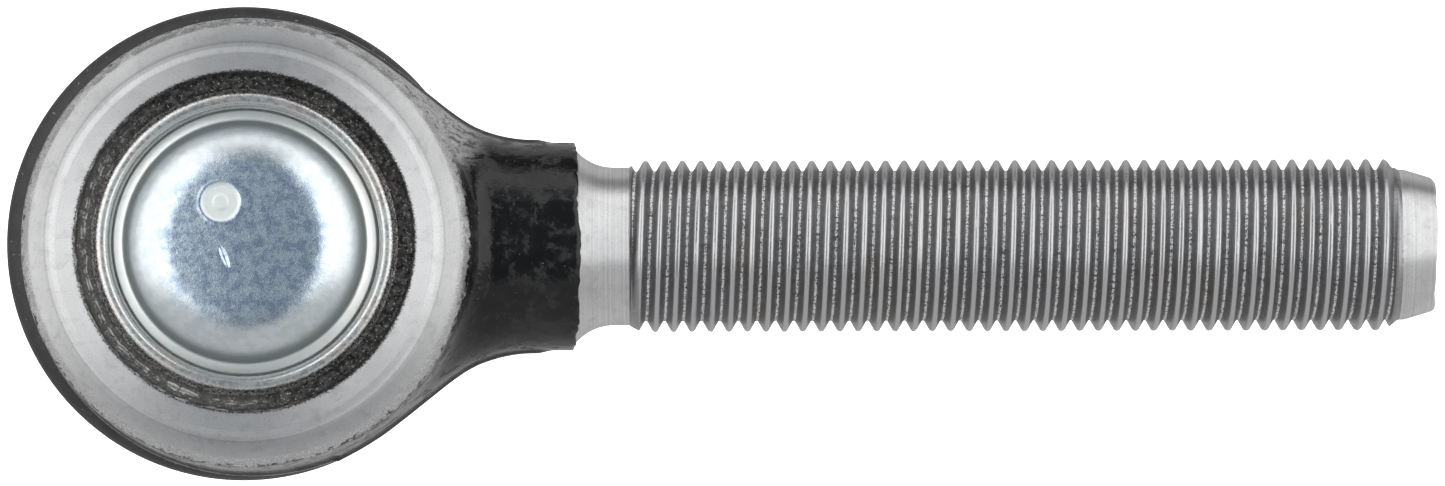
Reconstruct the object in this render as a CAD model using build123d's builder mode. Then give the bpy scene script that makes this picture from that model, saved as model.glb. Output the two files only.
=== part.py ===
from build123d import *
import os
from math import atan2, cos, degrees, radians, sqrt, tan

from build123d.topology import SkipClean

# Ball-stud rod end (tie-rod end) with a male left-hand thread, in millimetres.
# Origin: the centre of the ball. +X runs along the threaded shank, +Z points out of
# the closing cap, and the ball stud hangs down along -Z.

os.makedirs("parts", exist_ok=True)

# ---------------------------------------------------------------- driving dimensions
GAP = 0.05  # radial running clearance between turning pieces

# ball and seats
BALL_R = 10.0
BALL_FLAT_Z = 9.2  # flat on the ball, under the spring
SEAT_WALL = 1.5
SPLIT = 0.2  # half the gap between the two seat shells
LOWER_SEAT_LOW_Z = -5.2
GREASE_GROOVE_W = 1.4
GREASE_GROOVE_DEPTH = 0.6

# forged head
HEAD_R = 18.6  # at the parting plane
HEAD_DRAFT = 0.2
HEAD_LOW_CORNER_Z = -4.2
HEAD_LOW_CORNER_R = 3.0
HEAD_UNDER_R = 16.6  # where the underside meets the boot's groove
HEAD_BOTTOM_Z = -11.0
MOUTH_R = 9.6  # throat that the stud passes through
MOUTH_LAND = 0.7
MOUTH_FLARE_R = 11.4

# turned face of the head
FACE_Z = 12.0
FACE_R = 15.35
FACE_STEP = 0.25
BEVEL_TOP_R = 16.1
BEVEL_LOW_Z = 10.0
BEVEL_ARC_R = 3.2
PAINT_R = 17.95  # where the bevel meets the painted forging
PAINT_EDGE_Z = 9.4

# lip rolled over the cap, and the valley that the rolling tool leaves behind it
LIP_R = 10.9
LIP_TOP_Z = 12.05
LIP_CREST_R = 11.45
LIP_ARC_R = 0.6
LIP_EDGE = 0.5
LIP_BACK_R = 11.95
LIP_BACK_Z = 11.72
VALLEY_FLOOR_R = 12.75
VALLEY_FLOOR_Z = 11.05
VALLEY_R = 13.6
VALLEY_WALL = 0.2
VALLEY_DEPTH = 0.7

# closing cap
CAP_FLANGE_R = 12.2
CAP_SHEET = 1.3
CAP_TOP_Z = 14.65
FLANGE_TOP_Z = 10.7
SHOULDER_Z = 9.0  # ledge that the seal and the cap sit on
SEAL_R = 9.7  # hole of the seal
DOME_R = 9.75
DOME_FOOT_R = 0.4
DOME_SHOULDER_R = 9.25
DOME_SHOULDER_Z = 12.3
DOME_ARC_R = 4.76
DOME_INSIDE_R = 8.2
DOME_INSIDE_Z = 11.4
DOME_MOUTH_R = 9.1
DOME_MOUTH_CHAMFER = 0.5
CROWN_R = 5.6  # nearly flat crown in the middle of the dome
CROWN_INSIDE_R = 5.2
CROWN_RISE = 0.2
CROWN_INSIDE_RISE = 0.15
CROWN_INSIDE_ARC_R = 3.2

# neck, relief and the M14 x 1.5 left-hand thread
WEB_ROOT_X = 9.0
WEB_SECTIONS = (  # distance along the shank, half width, half height, height of the middle
    (WEB_ROOT_X, 15.3, 7.1, 1.4),
    (12.0, 13.2, 7.2, 1.25),
    (15.5, 10.85, 7.35, 1.1),
    (18.3, 9.35, 7.75, 0.75),
)
NECK_R = 8.45
NECK_START_X = 22.0
NECK_TAIL = 6.0  # how far the neck's root reaches back into the web
NECK_TAIL_R = 5.0
NECK_END_X = 26.05
NECK_FILLET_R = 4.1
RELIEF_R = 6.42
RELIEF_START_X = 29.5
SHANK_START_X = 29.6
THREAD_R = 6.95
THREAD_ROOT_R = 6.02
THREAD_PITCH = 1.5
THREAD_TURNS = 41
THREAD_START_X = 30.6
THREAD_LEAD_IN = 0.5
THREAD_FIRST_TURN = 0.95
THREAD_FULL_X = 52.04  # end of the full-size stretch
THREAD_END_X = 91.8
THREAD_TIP_R = 6.93  # the crests fall away a little towards the tip, so the thread starts easily
THREAD_RUN_OUT = 0.8
SHANK_END_X = 95.8
SHANK_TIP_R = 5.4
SHANK_TIP_CHAMFER = 0.3
SECTORS = 6

# groove for the boot's upper bead
BOOT_SEAT_R = 14.2
BOOT_SEAT_TOP_Z = -7.2
BOOT_SEAT_LOW_Z = -10.2
BOOT_SEAT_LIP_R = 14.8

# ball stud
STUD_NECK_R = 5.6
STUD_NECK_LOW_Z = -12.3
STUD_LAND_R = 8.2  # plain land that the boot's collar turns on
STUD_LAND_TOP_Z = -16.5
STUD_LAND_LOW_Z = -22.4
TAPER_TOP_R = 7.6
TAPER_LOW_R = 6.5
TAPER_TOP_Z = -23.0
TAPER_LOW_Z = -40.6
STUD_THREAD_R = 5.95  # M12 x 1.25
STUD_ROOT_R = 5.15
STUD_RELIEF_R = 5.0
STUD_PITCH = 1.25
STUD_TURNS = 12
STUD_THREAD_TOP_Z = -42.3
STUD_LEAD_IN = 1.2
STUD_END_Z = -57.0
STUD_END_CHAMFER = 0.9
COTTER_Z = -51.5
COTTER_HOLE_R = 1.6

# castle nut and split pin
NUT_AF = 18.0
NUT_TOP_Z = -41.6
NUT_HEX_LOW_Z = -49.2
NUT_CORNER_R = 10.6
NUT_TOP_FACE_R = 8.9
NUT_TOP_CHAMFER = 1.0
NUT_LOW_CHAMFER = 1.2
NUT_CROWN_LOW_Z = -54.0
NUT_CROWN_R = 8.2
NUT_CROWN_TOP_R = 8.4
SLOT_W = 3.3
SLOT_TOP_Z = -49.7
PIN_WIRE_R = 1.4
PIN_SPLIT = 0.04  # half the gap between the pin's legs
PIN_EYE_R = 2.1
PIN_EYE_WIRE_R = 0.7
PIN_EYE_HALF_W = 1.0
PIN_EYE_Y = -11.9
PIN_BEND_Y = 10.9
PIN_BEND_R = 2.0
PIN_LEG = 5.5

# preload spring and plate
PLATE_Z = 7.45
PLATE_T = 1.0
PLATE_HOLE_R = 6.7
PLATE_CHAMFER = 0.25
PLATE_PLAY = 0.3
SPRING_WIRE_R = 0.75
SPRING_LOW_R = 7.4
SPRING_TOP_R = 4.1
SPRING_TOP_Z = 12.4
SPRING_TURNS = 2.2

# boot, collar and wire clips
COLLAR_R = 9.6
COLLAR_TOP_Z = -17.6
COLLAR_LOW_Z = -22.9
COLLAR_CHAMFER = 0.4
COLLAR_FLANGE_R = 11.7
COLLAR_FLANGE_T = 0.8
BOOT_R = 19.6  # bulge of the boot
BOOT_BULGE_Z = -14.4
BOOT_WALL = 1.3
BEAD_R = 16.6
BEAD_PLAY = 0.1
BEAD_LOW_Z = -10.3
BEAD_CLIP_Z = -8.7
CLIP_WIRE_R = 0.7
CLIP_RECESS = 0.35
CUFF_R = 11.3
CUFF_MOUTH_R = 10.6
CUFF_TOP_Z = -17.9
CUFF_CLIP_Z = -20.3
CUFF_CLIP_WIRE_R = 0.6


def on_sphere(radius, z):
    """Distance from the axis of the point at height z on a sphere round the origin."""
    return sqrt(radius**2 - z**2)


def groove_cutter(root, crest, pitch, start_point, direction, lefthand, tip=0.16, flank=30.0):
    """One turn of a V-shaped thread groove round the axis through start_point."""
    depth = crest - root + 0.12
    spread = depth * tan(radians(flank))
    with BuildPart() as cutter:
        with BuildLine() as path:
            Helix(pitch, pitch, root, center=start_point, direction=direction, lefthand=lefthand)
        start = path.line @ 0
        radial = (start - Vector(*start_point)).normalized()
        section = Plane(origin=start, x_dir=direction, z_dir=Vector(*direction).cross(radial))
        with BuildSketch(section):
            with BuildLine():
                Polyline(
                    (-tip / 2, 0),
                    (tip / 2, 0),
                    (tip / 2 + spread, depth),
                    (-tip / 2 - spread, depth),
                    close=True,
                )
            make_face()
        sweep(path=path.line, is_frenet=True)
    return cutter.part


# ---------------------------------------------------------------- housing forging
SEAT_OUT_R = BALL_R + GAP + SEAT_WALL
CAVITY_R = SEAT_OUT_R + GAP
MOUTH_Z = -on_sphere(CAVITY_R, MOUTH_R)

with BuildPart() as forging:
    # round head with the turned face, bevel and boot seat
    with BuildSketch(Plane.XZ):
        with BuildLine():
            Polyline(
                (0, HEAD_BOTTOM_Z),
                (BOOT_SEAT_LIP_R, HEAD_BOTTOM_Z),
                (BOOT_SEAT_LIP_R, BOOT_SEAT_LOW_Z),
                (BOOT_SEAT_R, BOOT_SEAT_LOW_Z),
                (BOOT_SEAT_R, BOOT_SEAT_TOP_Z),
                (HEAD_UNDER_R, BOOT_SEAT_TOP_Z),
            )
            RadiusArc(
                (HEAD_UNDER_R, BOOT_SEAT_TOP_Z),
                (HEAD_R - HEAD_DRAFT, HEAD_LOW_CORNER_Z),
                -HEAD_LOW_CORNER_R,
            )
            Polyline(
                (HEAD_R - HEAD_DRAFT, HEAD_LOW_CORNER_Z),
                (HEAD_R, 0),
                (PAINT_R + HEAD_DRAFT / 2, PAINT_EDGE_Z),
                (PAINT_R, BEVEL_LOW_Z),
            )
            RadiusArc((PAINT_R, BEVEL_LOW_Z), (BEVEL_TOP_R, FACE_Z - FACE_STEP), -BEVEL_ARC_R)
            Polyline(
                (BEVEL_TOP_R, FACE_Z - FACE_STEP),
                (FACE_R, FACE_Z - FACE_STEP),
                (FACE_R, FACE_Z),
                (VALLEY_R, FACE_Z),
                (VALLEY_R - VALLEY_WALL, FACE_Z - VALLEY_DEPTH),
            )
            Spline(
                (VALLEY_R - VALLEY_WALL, FACE_Z - VALLEY_DEPTH),
                (VALLEY_FLOOR_R, VALLEY_FLOOR_Z),
                (LIP_BACK_R, LIP_BACK_Z),
                (LIP_CREST_R, LIP_TOP_Z),
                tangents=((-0.4, -1), (-1, 0.05)),
            )
            RadiusArc((LIP_CREST_R, LIP_TOP_Z), (LIP_R, LIP_TOP_Z - LIP_EDGE), -LIP_ARC_R)
            Polyline(
                (LIP_R, LIP_TOP_Z - LIP_EDGE),
                (0, LIP_TOP_Z - LIP_EDGE),
                (0, HEAD_BOTTOM_Z),
            )
        make_face()
    revolve(axis=Axis.Z)

    # web that flares from the round neck into the head, as oval sections along the shank
    for x, half_width, half_height, rise in WEB_SECTIONS:
        with BuildSketch(Plane.YZ.offset(x)):
            with Locations((0, rise)):
                Ellipse(half_width, half_height)
    with BuildSketch(Plane.YZ.offset(NECK_START_X)):
        Circle(NECK_R)
    loft()

    # neck and the turned fillet down to the relief
    with BuildSketch(Plane.XZ):
        with BuildLine():
            Polyline(
                (NECK_START_X - NECK_TAIL, 0),
                (NECK_START_X - NECK_TAIL, NECK_TAIL_R),
                (NECK_START_X, NECK_R),
                (NECK_END_X, NECK_R),
            )
            RadiusArc((NECK_END_X, NECK_R), (RELIEF_START_X, RELIEF_R), -NECK_FILLET_R)
            Polyline(
                (RELIEF_START_X, RELIEF_R),
                (SHANK_START_X, RELIEF_R),
                (SHANK_START_X, 0),
                (NECK_START_X - NECK_TAIL, 0),
            )
        make_face()
    revolve(axis=Axis.X)

    # cavity for the ball, its seats and the cap, open at the stud's side
    with BuildSketch(Plane.XZ):
        with BuildLine():
            Polyline(
                (0, HEAD_BOTTOM_Z),
                (MOUTH_FLARE_R, HEAD_BOTTOM_Z),
                (MOUTH_R, MOUTH_Z - MOUTH_LAND),
                (MOUTH_R, MOUTH_Z),
            )
            RadiusArc((MOUTH_R, MOUTH_Z), (CAVITY_R, 0), -CAVITY_R)
            Polyline(
                (CAVITY_R, 0),
                (CAVITY_R, SHOULDER_Z),
                (CAP_FLANGE_R + GAP, SHOULDER_Z),
                (CAP_FLANGE_R + GAP, FLANGE_TOP_Z),
                (LIP_R, FLANGE_TOP_Z),
                (LIP_R, CAP_TOP_Z),
                (0, CAP_TOP_Z),
                (0, HEAD_BOTTOM_Z),
            )
        make_face()
    revolve(axis=Axis.Z, mode=Mode.SUBTRACT)

# The threaded stretch is turned as sectors and its faces are left unmerged, so that on the
# full-size stretch each crest land stays a short strip of a true cylinder once it is cut.
with SkipClean(), BuildPart() as shank:
    for sector in range(SECTORS):
        with BuildSketch(Plane.XZ.rotated((sector * 360 / SECTORS, 0, 0))):
            with BuildLine():
                Polyline(
                    (SHANK_START_X, 0),
                    (SHANK_START_X, RELIEF_R),
                    (THREAD_START_X, RELIEF_R),
                    (THREAD_START_X + THREAD_LEAD_IN, THREAD_R),
                    (THREAD_FULL_X, THREAD_R),
                    (THREAD_END_X, THREAD_TIP_R),
                    (THREAD_END_X + THREAD_RUN_OUT, THREAD_ROOT_R + GAP),
                    (THREAD_END_X + 2 * THREAD_RUN_OUT, THREAD_ROOT_R),
                    (SHANK_END_X - SHANK_TIP_CHAMFER, SHANK_TIP_R),
                    (SHANK_END_X, SHANK_TIP_R - SHANK_TIP_CHAMFER),
                    (SHANK_END_X, 0),
                    close=True,
                )
            make_face()
        revolve(axis=Axis.X, revolution_arc=360 / SECTORS, clean=False)

shank_groove = groove_cutter(
    THREAD_ROOT_R,
    THREAD_R,
    THREAD_PITCH,
    start_point=(THREAD_START_X + THREAD_FIRST_TURN, 0, 0),
    direction=(1, 0, 0),
    lefthand=True,
)

with SkipClean(), BuildPart() as housing:
    add(forging.part)
    add(shank.part, clean=False)
    with Locations([(turn * THREAD_PITCH, 0, 0) for turn in range(THREAD_TURNS)]):
        add(shank_groove, clean=False, mode=Mode.SUBTRACT)
housing.part.label = "housing"
export_step(housing.part, "parts/housing.step")

# ---------------------------------------------------------------- closing cap and seal
SEAL_TOP_Z = FLANGE_TOP_Z - CAP_SHEET
CROWN_SPHERE_R = (CROWN_R**2 + CROWN_RISE**2) / (2 * CROWN_RISE)
CROWN_UNDER_Z = CAP_TOP_Z - CAP_SHEET

with BuildPart() as closing_cap:
    with BuildSketch(Plane.XZ):
        with BuildLine():
            Line((0, CROWN_UNDER_Z), (CROWN_INSIDE_R, CROWN_UNDER_Z - CROWN_INSIDE_RISE))
            RadiusArc(
                (CROWN_INSIDE_R, CROWN_UNDER_Z - CROWN_INSIDE_RISE),
                (DOME_INSIDE_R, DOME_INSIDE_Z),
                CROWN_INSIDE_ARC_R,
            )
            Polyline(
                (DOME_INSIDE_R, DOME_INSIDE_Z),
                (DOME_MOUTH_R - DOME_MOUTH_CHAMFER, SEAL_TOP_Z + DOME_MOUTH_CHAMFER),
                (DOME_MOUTH_R, SEAL_TOP_Z),
                (CAP_FLANGE_R, SEAL_TOP_Z),
                (CAP_FLANGE_R, FLANGE_TOP_Z),
                (DOME_R + DOME_FOOT_R, FLANGE_TOP_Z),
            )
            RadiusArc(
                (DOME_R + DOME_FOOT_R, FLANGE_TOP_Z),
                (DOME_R, FLANGE_TOP_Z + DOME_FOOT_R),
                DOME_FOOT_R,
            )
            Line((DOME_R, FLANGE_TOP_Z + DOME_FOOT_R), (DOME_SHOULDER_R, DOME_SHOULDER_Z))
            RadiusArc(
                (DOME_SHOULDER_R, DOME_SHOULDER_Z),
                (CROWN_R, CAP_TOP_Z - CROWN_RISE),
                -DOME_ARC_R,
            )
            RadiusArc((CROWN_R, CAP_TOP_Z - CROWN_RISE), (0, CAP_TOP_Z), -CROWN_SPHERE_R)
            Line((0, CAP_TOP_Z), (0, CROWN_UNDER_Z))
        make_face()
    revolve(axis=Axis.Z)
closing_cap.part.label = "closing_cap"
export_step(closing_cap.part, "parts/closing_cap.step")

with BuildPart() as cap_seal:
    with BuildSketch(Plane.XY.offset(SHOULDER_Z)):
        Circle(CAP_FLANGE_R)
        Circle(SEAL_R, mode=Mode.SUBTRACT)
    extrude(amount=SEAL_TOP_Z - SHOULDER_Z)
cap_seal.part.label = "cap_seal"
export_step(cap_seal.part, "parts/cap_seal.step")

# ---------------------------------------------------------------- preload spring and plate
with BuildPart() as pressure_plate:
    with BuildSketch(Plane.XY.offset(PLATE_Z)):
        Circle(SEAT_OUT_R - PLATE_PLAY)
        Circle(PLATE_HOLE_R, mode=Mode.SUBTRACT)
    extrude(amount=PLATE_T)
    chamfer(pressure_plate.edges().filter_by(GeomType.CIRCLE).group_by(Axis.Z)[-1], PLATE_CHAMFER)
pressure_plate.part.label = "pressure_plate"
export_step(pressure_plate.part, "parts/pressure_plate.step")

SPRING_LOW_Z = PLATE_Z + PLATE_T + SPRING_WIRE_R + GAP
SPRING_RISE = SPRING_TOP_Z - SPRING_LOW_Z
SPRING_SLANT = atan2(SPRING_LOW_R - SPRING_TOP_R, SPRING_RISE)

with BuildPart() as preload_spring:
    with BuildLine() as coil:
        Helix(
            SPRING_RISE / SPRING_TURNS / cos(SPRING_SLANT),
            SPRING_RISE,
            SPRING_LOW_R,
            center=(0, 0, SPRING_LOW_Z),
            cone_angle=-degrees(SPRING_SLANT),
        )
    with BuildSketch(Plane(origin=coil.line @ 0, z_dir=coil.line % 0)):
        Circle(SPRING_WIRE_R)
    sweep(path=coil.line, is_frenet=True)
preload_spring.part.label = "preload_spring"
export_step(preload_spring.part, "parts/preload_spring.step")

# ---------------------------------------------------------------- ball seats
BALL_SEAT_R = BALL_R + GAP
UPPER_SEAT_TOP_Z = PLATE_Z - GAP

with BuildPart() as grease_grooves:
    with BuildSketch(Plane.XY.offset(SPLIT)):
        with PolarLocations(0, 3):
            Rectangle(3 * BALL_R, GREASE_GROOVE_W)
    extrude(amount=UPPER_SEAT_TOP_Z - SPLIT)
    Sphere(BALL_SEAT_R + GREASE_GROOVE_DEPTH, mode=Mode.INTERSECT)

with BuildPart() as upper_seat:
    with BuildSketch(Plane.XZ):
        with BuildLine():
            RadiusArc(
                (on_sphere(BALL_SEAT_R, SPLIT), SPLIT),
                (on_sphere(BALL_SEAT_R, UPPER_SEAT_TOP_Z), UPPER_SEAT_TOP_Z),
                -BALL_SEAT_R,
            )
            Polyline(
                (on_sphere(BALL_SEAT_R, UPPER_SEAT_TOP_Z), UPPER_SEAT_TOP_Z),
                (SEAT_OUT_R, UPPER_SEAT_TOP_Z),
                (SEAT_OUT_R, SPLIT),
                (on_sphere(BALL_SEAT_R, SPLIT), SPLIT),
            )
        make_face()
    revolve(axis=Axis.Z)
    add(grease_grooves.part, mode=Mode.SUBTRACT)
upper_seat.part.label = "upper_seat"
export_step(upper_seat.part, "parts/upper_seat.step")

with BuildPart() as lower_seat:
    with BuildSketch(Plane.XZ):
        with BuildLine():
            RadiusArc(
                (on_sphere(BALL_SEAT_R, LOWER_SEAT_LOW_Z), LOWER_SEAT_LOW_Z),
                (on_sphere(BALL_SEAT_R, SPLIT), -SPLIT),
                -BALL_SEAT_R,
            )
            Line((on_sphere(BALL_SEAT_R, SPLIT), -SPLIT), (on_sphere(SEAT_OUT_R, SPLIT), -SPLIT))
            RadiusArc(
                (on_sphere(SEAT_OUT_R, SPLIT), -SPLIT),
                (on_sphere(SEAT_OUT_R, LOWER_SEAT_LOW_Z), LOWER_SEAT_LOW_Z),
                SEAT_OUT_R,
            )
            Line(
                (on_sphere(SEAT_OUT_R, LOWER_SEAT_LOW_Z), LOWER_SEAT_LOW_Z),
                (on_sphere(BALL_SEAT_R, LOWER_SEAT_LOW_Z), LOWER_SEAT_LOW_Z),
            )
        make_face()
    revolve(axis=Axis.Z)
lower_seat.part.label = "lower_seat"
export_step(lower_seat.part, "parts/lower_seat.step")

# ---------------------------------------------------------------- ball stud
stud_groove = groove_cutter(
    STUD_ROOT_R,
    STUD_THREAD_R,
    STUD_PITCH,
    start_point=(0, 0, STUD_THREAD_TOP_Z),
    direction=(0, 0, -1),
    lefthand=False,
    tip=0.14,
)

with BuildPart() as ball_stud:
    with BuildSketch(Plane.XZ):
        with BuildLine():
            Line((0, BALL_FLAT_Z), (on_sphere(BALL_R, BALL_FLAT_Z), BALL_FLAT_Z))
            ThreePointArc(
                (on_sphere(BALL_R, BALL_FLAT_Z), BALL_FLAT_Z),
                (BALL_R, 0),
                (STUD_NECK_R, -on_sphere(BALL_R, STUD_NECK_R)),
            )
            Line((STUD_NECK_R, -on_sphere(BALL_R, STUD_NECK_R)), (STUD_NECK_R, STUD_NECK_LOW_Z))
            Spline(
                (STUD_NECK_R, STUD_NECK_LOW_Z),
                (STUD_LAND_R, STUD_LAND_TOP_Z),
                tangents=((0, -1), (0.25, -1)),
            )
            Polyline(
                (STUD_LAND_R, STUD_LAND_TOP_Z),
                (STUD_LAND_R, STUD_LAND_LOW_Z),
                (TAPER_TOP_R, TAPER_TOP_Z),
                (TAPER_LOW_R, TAPER_LOW_Z),
                (STUD_RELIEF_R, TAPER_LOW_Z - STUD_LEAD_IN / 2),
                (STUD_RELIEF_R, STUD_THREAD_TOP_Z - STUD_LEAD_IN / 2),
                (STUD_THREAD_R, STUD_THREAD_TOP_Z - STUD_LEAD_IN),
                (STUD_THREAD_R, STUD_END_Z + STUD_END_CHAMFER),
                (STUD_THREAD_R - STUD_END_CHAMFER, STUD_END_Z),
                (0, STUD_END_Z),
                (0, BALL_FLAT_Z),
            )
        make_face()
    revolve(axis=Axis.Z)
    with BuildSketch(Plane.XZ.offset(-STUD_LAND_R)):
        with Locations((0, COTTER_Z)):
            Circle(COTTER_HOLE_R)
    extrude(amount=2 * STUD_LAND_R, mode=Mode.SUBTRACT)
    with Locations([(0, 0, -turn * STUD_PITCH) for turn in range(STUD_TURNS)]):
        add(stud_groove, mode=Mode.SUBTRACT)
ball_stud.part.label = "ball_stud"
export_step(ball_stud.part, "parts/ball_stud.step")

# ---------------------------------------------------------------- castle nut and split pin
with BuildPart() as castle_nut:
    with BuildSketch(Plane.XY.offset(NUT_HEX_LOW_Z)):
        RegularPolygon(NUT_AF / 2, 6, major_radius=False)
    extrude(amount=NUT_TOP_Z - NUT_HEX_LOW_Z)
    # the hexagon's corners are turned back at both ends
    with BuildSketch(Plane.XZ):
        with BuildLine():
            Polyline(
                (0, NUT_TOP_Z),
                (NUT_TOP_FACE_R, NUT_TOP_Z),
                (NUT_CORNER_R, NUT_TOP_Z - NUT_TOP_CHAMFER),
                (NUT_CORNER_R, NUT_HEX_LOW_Z + NUT_LOW_CHAMFER),
                (NUT_CROWN_TOP_R, NUT_HEX_LOW_Z),
                (0, NUT_HEX_LOW_Z),
                close=True,
            )
        make_face()
    revolve(axis=Axis.Z, mode=Mode.INTERSECT)
    with BuildSketch(Plane.XY.offset(NUT_CROWN_LOW_Z)):
        Circle(NUT_CROWN_R)
    extrude(amount=NUT_HEX_LOW_Z - NUT_CROWN_LOW_Z)
    with BuildSketch(Plane.XY.offset(NUT_CROWN_LOW_Z)):
        with PolarLocations(0, 3, start_angle=30):
            Rectangle(4 * NUT_CROWN_R, SLOT_W)
    extrude(amount=SLOT_TOP_Z - NUT_CROWN_LOW_Z, mode=Mode.SUBTRACT)
    with BuildSketch(Plane.XY.offset(NUT_CROWN_LOW_Z)):
        Circle(STUD_THREAD_R + GAP)
    extrude(amount=NUT_TOP_Z - NUT_CROWN_LOW_Z, mode=Mode.SUBTRACT)
castle_nut.part.label = "castle_nut"
export_step(castle_nut.part, "parts/castle_nut.step")


def cotter_leg(side):
    """One half-round leg of the split pin, bent away on the given side (+1 up, -1 down)."""
    flat_z = COTTER_Z + side * PIN_SPLIT
    with BuildPart() as leg:
        with BuildLine() as path:
            FilletPolyline(
                (0, PIN_EYE_Y + PIN_EYE_R, flat_z),
                (0, PIN_BEND_Y, flat_z),
                (0, PIN_BEND_Y, flat_z + side * PIN_LEG),
                radius=PIN_BEND_R,
            )
        with BuildSketch(Plane(origin=path.line @ 0, x_dir=(1, 0, 0), z_dir=(0, 1, 0))):
            Circle(PIN_WIRE_R)
            with Locations((0, side * 2 * PIN_WIRE_R)):
                Rectangle(4 * PIN_WIRE_R, 4 * PIN_WIRE_R, mode=Mode.SUBTRACT)
        sweep(path=path.line)
    return leg.part


with BuildPart() as cotter_pin:
    with BuildSketch(Plane.YZ):
        with Locations((PIN_EYE_Y, COTTER_Z)):
            Circle(PIN_EYE_R + PIN_EYE_WIRE_R)
            Circle(PIN_EYE_R - PIN_EYE_WIRE_R, mode=Mode.SUBTRACT)
    extrude(amount=PIN_EYE_HALF_W, both=True)
    fillet(cotter_pin.edges().filter_by(GeomType.CIRCLE), PIN_EYE_HALF_W / 2)
    add(cotter_leg(1))
    add(cotter_leg(-1))
cotter_pin.part.label = "cotter_pin"
export_step(cotter_pin.part, "parts/cotter_pin.step")

# ---------------------------------------------------------------- boot, collar and clips
CUFF_LOW_Z = COLLAR_LOW_Z + COLLAR_FLANGE_T
BEAD_CLIP_HALF = CLIP_WIRE_R + GAP
CUFF_CLIP_HALF = CUFF_CLIP_WIRE_R + GAP

with BuildPart() as boot_collar:
    with BuildSketch(Plane.XZ):
        with BuildLine():
            Polyline(
                (STUD_LAND_R + GAP, COLLAR_TOP_Z),
                (COLLAR_R - COLLAR_CHAMFER, COLLAR_TOP_Z),
                (COLLAR_R, COLLAR_TOP_Z - COLLAR_CHAMFER),
                (COLLAR_R, CUFF_LOW_Z),
                (COLLAR_FLANGE_R, CUFF_LOW_Z),
                (COLLAR_FLANGE_R, COLLAR_LOW_Z),
                (STUD_LAND_R + GAP, COLLAR_LOW_Z),
                close=True,
            )
        make_face()
    revolve(axis=Axis.Z)
boot_collar.part.label = "boot_collar"
export_step(boot_collar.part, "parts/boot_collar.step")

with BuildPart() as dust_boot:
    with BuildSketch(Plane.XZ):
        with BuildLine():
            # bead in the housing's groove, recessed for its wire clip
            Polyline(
                (BOOT_SEAT_LIP_R + GAP, HEAD_BOTTOM_Z - BEAD_PLAY),
                (BOOT_SEAT_LIP_R + GAP, BOOT_SEAT_LOW_Z + BEAD_PLAY),
                (BOOT_SEAT_R + GAP, BOOT_SEAT_LOW_Z + BEAD_PLAY),
                (BOOT_SEAT_R + GAP, BOOT_SEAT_TOP_Z - BEAD_PLAY),
                (BEAD_R, BOOT_SEAT_TOP_Z - BEAD_PLAY),
                (BEAD_R, BEAD_CLIP_Z + BEAD_CLIP_HALF),
                (BEAD_R - CLIP_RECESS, BEAD_CLIP_Z + BEAD_CLIP_HALF),
                (BEAD_R - CLIP_RECESS, BEAD_CLIP_Z - BEAD_CLIP_HALF),
                (BEAD_R, BEAD_CLIP_Z - BEAD_CLIP_HALF),
                (BEAD_R, BEAD_LOW_Z),
            )
            # outside of the bulge, down to the cuff
            Spline(
                (BEAD_R, BEAD_LOW_Z),
                (BOOT_R, BOOT_BULGE_Z),
                (16.2, -18.6),
                (12.4, -19.3),
                (CUFF_R, CUFF_CLIP_Z + CUFF_CLIP_HALF),
                tangents=((0.6, -1), (-0.3, -1)),
            )
            Polyline(
                (CUFF_R, CUFF_CLIP_Z + CUFF_CLIP_HALF),
                (CUFF_R - CLIP_RECESS, CUFF_CLIP_Z + CUFF_CLIP_HALF),
                (CUFF_R - CLIP_RECESS, CUFF_CLIP_Z - CUFF_CLIP_HALF),
                (CUFF_R, CUFF_CLIP_Z - CUFF_CLIP_HALF),
                (CUFF_R, CUFF_LOW_Z + GAP),
                (COLLAR_R + GAP, CUFF_LOW_Z + GAP),
                (COLLAR_R + GAP, CUFF_TOP_Z),
                (CUFF_MOUTH_R, CUFF_TOP_Z),
            )
            # inside of the bulge, back up to the bead
            Spline(
                (CUFF_MOUTH_R, CUFF_TOP_Z),
                (15.4, -17.2),
                (BOOT_R - BOOT_WALL, BOOT_BULGE_Z),
                (BOOT_SEAT_LIP_R + GAP, HEAD_BOTTOM_Z - BEAD_PLAY),
                tangents=((1, -0.1), (-0.7, 1)),
            )
        make_face()
    revolve(axis=Axis.Z)
dust_boot.part.label = "dust_boot"
export_step(dust_boot.part, "parts/dust_boot.step")


def wire_clip(name, wire_r, inner_r, z, arc):
    """Split spring ring of round wire that grips the boot at height z."""
    with BuildPart() as clip:
        with BuildSketch(Plane.XZ):
            with Locations((inner_r + wire_r, z)):
                Circle(wire_r)
        revolve(axis=Axis.Z, revolution_arc=arc)
    clip.part.label = name
    export_step(clip.part, f"parts/{name}.step")


wire_clip("upper_boot_clip", CLIP_WIRE_R, BEAD_R - CLIP_RECESS, BEAD_CLIP_Z, 345)
wire_clip("lower_boot_clip", CUFF_CLIP_WIRE_R, CUFF_R - CLIP_RECESS, CUFF_CLIP_Z, 340)
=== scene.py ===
"""Looks of a closed ball-stud rod end (tie-rod end) with a left-hand threaded shank.

The frame is the CAD's: origin at the ball's centre, +X along the shank, +Z out of the cap.
Sizes of the object are millimetres, and build() turns them into metres. Outlines of turned
shapes are (radius, distance along the axis) points. The stage, the lights and the camera
are in metres.
"""

import math

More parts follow.
